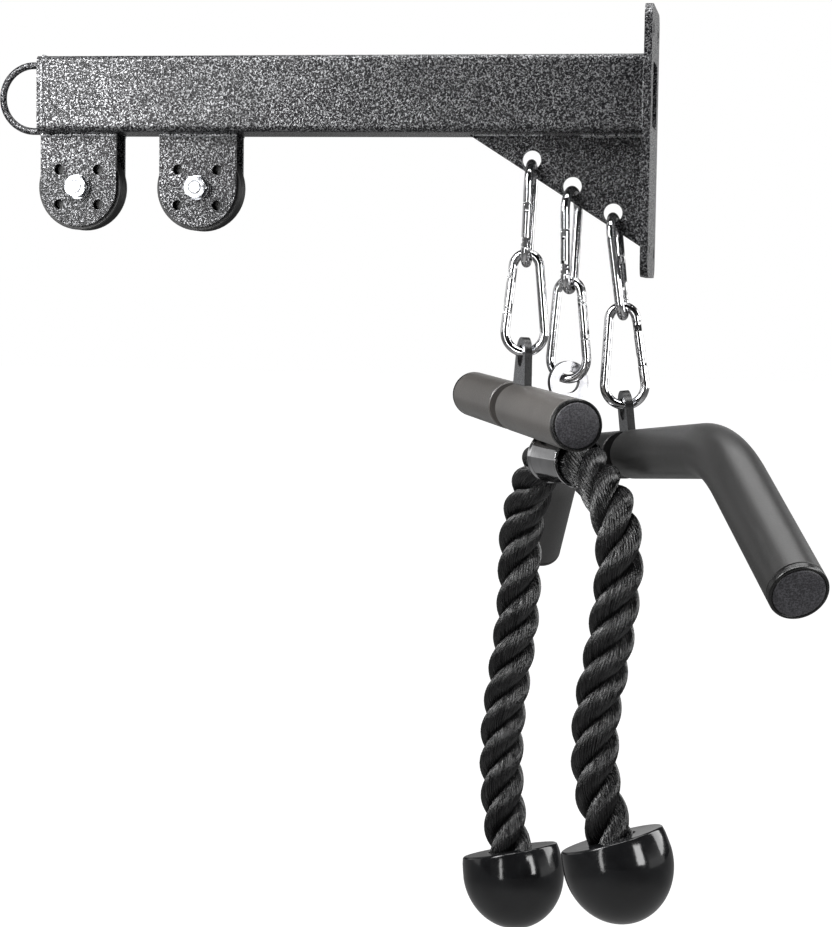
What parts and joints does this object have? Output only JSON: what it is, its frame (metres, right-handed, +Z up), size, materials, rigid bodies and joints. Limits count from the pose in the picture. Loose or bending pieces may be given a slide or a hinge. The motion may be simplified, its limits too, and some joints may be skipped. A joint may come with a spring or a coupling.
{
  "type": "cable machine",
  "caption": "Wall-mounted cable pulley arm on a gusseted square beam, with snap hooks that hold a straight bar, a two-ball pull-down rope and a long bar with bent ends.",
  "frame": {"origin": "centre of the wall plate's face that lies against the wall", "axes": "+X into the wall, so the beam runs out along -X; +Z up; +Y along the wall, away from the picture's viewer"},
  "size_m": [0.6666, 0.8146, 0.7405],
  "materials": {
    "black_nylon": "satin moulded nylon",
    "black_paint": "satin black paint",
    "bright_zinc": "bright zinc plate",
    "chrome": "polished chrome",
    "foam": "matte foam rubber with a fine grain",
    "gloss_rubber": "glossy moulded rubber",
    "hammered_paint": "dark grey hammered paint",
    "plug_plastic": "fine textured plastic",
    "polished_steel": "polished wire",
    "rope": "laid black rope, slightly glossy fibres"
  },
  "bodies": {
    "arm_frame": {"beam_tube": "hammered_paint", "end_cap_plate": "hammered_paint", "end_ring": "hammered_paint", "gusset_plate": "hammered_paint", "pulley_1_back_plate": "hammered_paint", "pulley_1_bearing_inner": "bright_zinc", "pulley_1_bolt": "bright_zinc", "pulley_1_front_plate": "hammered_paint", "pulley_1_nut": "bright_zinc", "pulley_1_spacer_back": "bright_zinc", "pulley_1_spacer_front": "bright_zinc", "pulley_1_washer_back": "bright_zinc", "pulley_1_washer_front": "bright_zinc", "pulley_2_back_plate": "hammered_paint", "pulley_2_bearing_inner": "bright_zinc", "pulley_2_bolt": "bright_zinc", "pulley_2_front_plate": "hammered_paint", "pulley_2_nut": "bright_zinc", "pulley_2_spacer_back": "bright_zinc", "pulley_2_spacer_front": "bright_zinc", "pulley_2_washer_back": "bright_zinc", "pulley_2_washer_front": "bright_zinc", "wall_plate": "hammered_paint"},
    "wheel_1": {"pulley_1_wheel": "black_nylon", "pulley_1_bearing_outer": "bright_zinc"},
    "wheel_2": {"pulley_2_wheel": "black_nylon", "pulley_2_bearing_outer": "bright_zinc"},
    "hook_1_upper": {"hook_1_upper_body": "polished_steel"},
    "hook_1_upper_gate": {"hook_1_upper_gate": "polished_steel"},
    "hook_1_lower": {"hook_1_lower_body": "polished_steel"},
    "hook_1_lower_gate": {"hook_1_lower_gate": "polished_steel"},
    "hook_2_upper": {"hook_2_upper_body": "polished_steel"},
    "hook_2_upper_gate": {"hook_2_upper_gate": "polished_steel"},
    "hook_2_lower": {"hook_2_lower_body": "polished_steel"},
    "hook_2_lower_gate": {"hook_2_lower_gate": "polished_steel"},
    "hook_3_upper": {"hook_3_upper_body": "polished_steel"},
    "hook_3_upper_gate": {"hook_3_upper_gate": "polished_steel"},
    "hook_3_lower": {"hook_3_lower_body": "polished_steel"},
    "hook_3_lower_gate": {"hook_3_lower_gate": "polished_steel"},
    "straight_bar": {"straight_bar_far_grip": "foam", "straight_bar_far_plug": "plug_plastic", "straight_bar_lug": "bright_zinc", "straight_bar_near_grip": "foam", "straight_bar_near_plug": "plug_plastic", "straight_bar_tube": "black_paint"},
    "rope_yoke": {"rope_eye": "chrome", "rope_sleeve": "chrome", "rope_middle": "rope"},
    "long_bar": {"long_bar_far_grip": "foam", "long_bar_far_plug": "plug_plastic", "long_bar_lug": "bright_zinc", "long_bar_near_grip": "foam", "long_bar_near_plug": "plug_plastic", "long_bar_tube": "black_paint"},
    "rope_near": {"rope_near_arm": "rope", "rope_near_ball": "gloss_rubber"},
    "rope_far": {"rope_far_arm": "rope", "rope_far_ball": "gloss_rubber"}
  },
  "joints": [
    {"name": "pulley_1_spin", "type": "hinge", "parent": "arm_frame", "child": "wheel_1", "pos_m": [-0.4602, 0, -0.03634], "axis": [0, 1, 0], "continuous": true},
    {"name": "pulley_2_spin", "type": "hinge", "parent": "arm_frame", "child": "wheel_2", "pos_m": [-0.3614, 0, -0.03634], "axis": [0, 1, 0], "continuous": true},
    {"name": "hook_1_upper_swing", "type": "hinge", "parent": "arm_frame", "child": "hook_1_upper", "pos_m": [-0.09469, 0, -0.01578], "axis": [0, 1, 0], "range_deg": [0, 30]},
    {"name": "hook_1_upper_gate_open", "type": "hinge", "parent": "hook_1_upper", "child": "hook_1_upper_gate", "pos_m": [-0.09608, -0.01404, -0.05048], "axis": [0.9992, 0, -0.0401], "range_deg": [0, 25], "stiffness_Nm_per_rad": 0.25, "springref_deg": -8.59},
    {"name": "hook_1_lower_swing", "type": "hinge", "parent": "hook_1_upper", "child": "hook_1_lower", "pos_m": [-0.0975, 0, -0.08573], "axis": [-0.9961, 0.0872, 0.0104], "range_deg": [-1, 25]},
    {"name": "hook_1_lower_gate_open", "type": "hinge", "parent": "hook_1_lower", "child": "hook_1_lower_gate", "pos_m": [-0.11193, 0.00122, -0.12835], "axis": [0.0872, 0.9962, -0.0009], "range_deg": [0, 25], "stiffness_Nm_per_rad": 0.25, "springref_deg": -8.59},
    {"name": "hook_2_upper_swing", "type": "hinge", "parent": "arm_frame", "child": "hook_2_upper", "pos_m": [-0.06253, 0, -0.03622], "axis": [0.2249, 0.9744, -0.0031], "range_deg": [-1, 1]},
    {"name": "hook_2_upper_gate_open", "type": "hinge", "parent": "hook_2_upper", "child": "hook_2_upper_gate", "pos_m": [-0.06617, -0.01367, -0.0709], "axis": [0.9743, -0.225, -0.0136], "range_deg": [0, 25], "stiffness_Nm_per_rad": 0.25, "springref_deg": -8.59},
    {"name": "hook_2_lower_swing", "type": "hinge", "parent": "hook_2_upper", "child": "hook_2_lower", "pos_m": [-0.06351, 0, -0.10621], "axis": [0.9304, -0.3665, 0.0049], "range_deg": [-2, 2]},
    {"name": "hook_2_lower_gate_open", "type": "hinge", "parent": "hook_2_lower", "child": "hook_2_lower_gate", "pos_m": [-0.05023, -0.00514, -0.14892], "axis": [-0.3665, -0.9304, -0.0019], "range_deg": [0, 25], "stiffness_Nm_per_rad": 0.25, "springref_deg": -8.59},
    {"name": "hook_3_upper_swing", "type": "hinge", "parent": "arm_frame", "child": "hook_3_upper", "pos_m": [-0.03038, 0, -0.05665], "axis": [-0.1037, -0.9945, -0.0127], "range_deg": [0, 12]},
    {"name": "hook_3_upper_gate_open", "type": "hinge", "parent": "hook_3_upper", "child": "hook_3_upper_gate", "pos_m": [-0.02469, 0.01396, -0.09094], "axis": [-0.9871, 0.1045, -0.1212], "range_deg": [0, 25], "stiffness_Nm_per_rad": 0.25, "springref_deg": -8.59},
    {"name": "hook_3_lower_swing", "type": "hinge", "parent": "hook_3_upper", "child": "hook_3_lower", "pos_m": [-0.02185, 0, -0.12613], "axis": [0.9986, 0, 0.0523], "range_deg": [-3, 25]},
    {"name": "hook_3_lower_gate_open", "type": "hinge", "parent": "hook_3_lower", "child": "hook_3_lower_gate", "pos_m": [-0.00559, 0, -0.16811], "axis": [0, -1, 0], "range_deg": [0, 25], "stiffness_Nm_per_rad": 0.25, "springref_deg": -8.59},
    {"name": "straight_bar_swing", "type": "hinge", "parent": "hook_1_lower", "child": "straight_bar", "pos_m": [-0.09831, 0, -0.16322], "axis": [0.9327, 0.359, -0.0349], "range_deg": [-15, 15]},
    {"name": "rope_yoke_swing", "type": "hinge", "parent": "hook_2_lower", "child": "rope_yoke", "pos_m": [-0.0631, 0, -0.18371], "axis": [0.9304, -0.3665, 0.0049], "range_deg": [-2, 4]},
    {"name": "long_bar_swing", "type": "hinge", "parent": "hook_3_lower", "child": "long_bar", "pos_m": [-0.01779, 0, -0.20353], "axis": [0.9498, 0.2989, 0.0921], "range_deg": [-25, 8]},
    {"name": "rope_near_bend", "type": "hinge", "parent": "rope_yoke", "child": "rope_near", "pos_m": [-0.01337, -0.08791, -0.31657], "axis": [0.8658, 0.4999, -0.0209], "range_deg": [-45, 10]},
    {"name": "rope_far_bend", "type": "hinge", "parent": "rope_yoke", "child": "rope_far", "pos_m": [-0.10711, 0.06835, -0.32851], "axis": [0.8658, 0.4999, -0.0209], "range_deg": [-10, 45]}
  ]
}
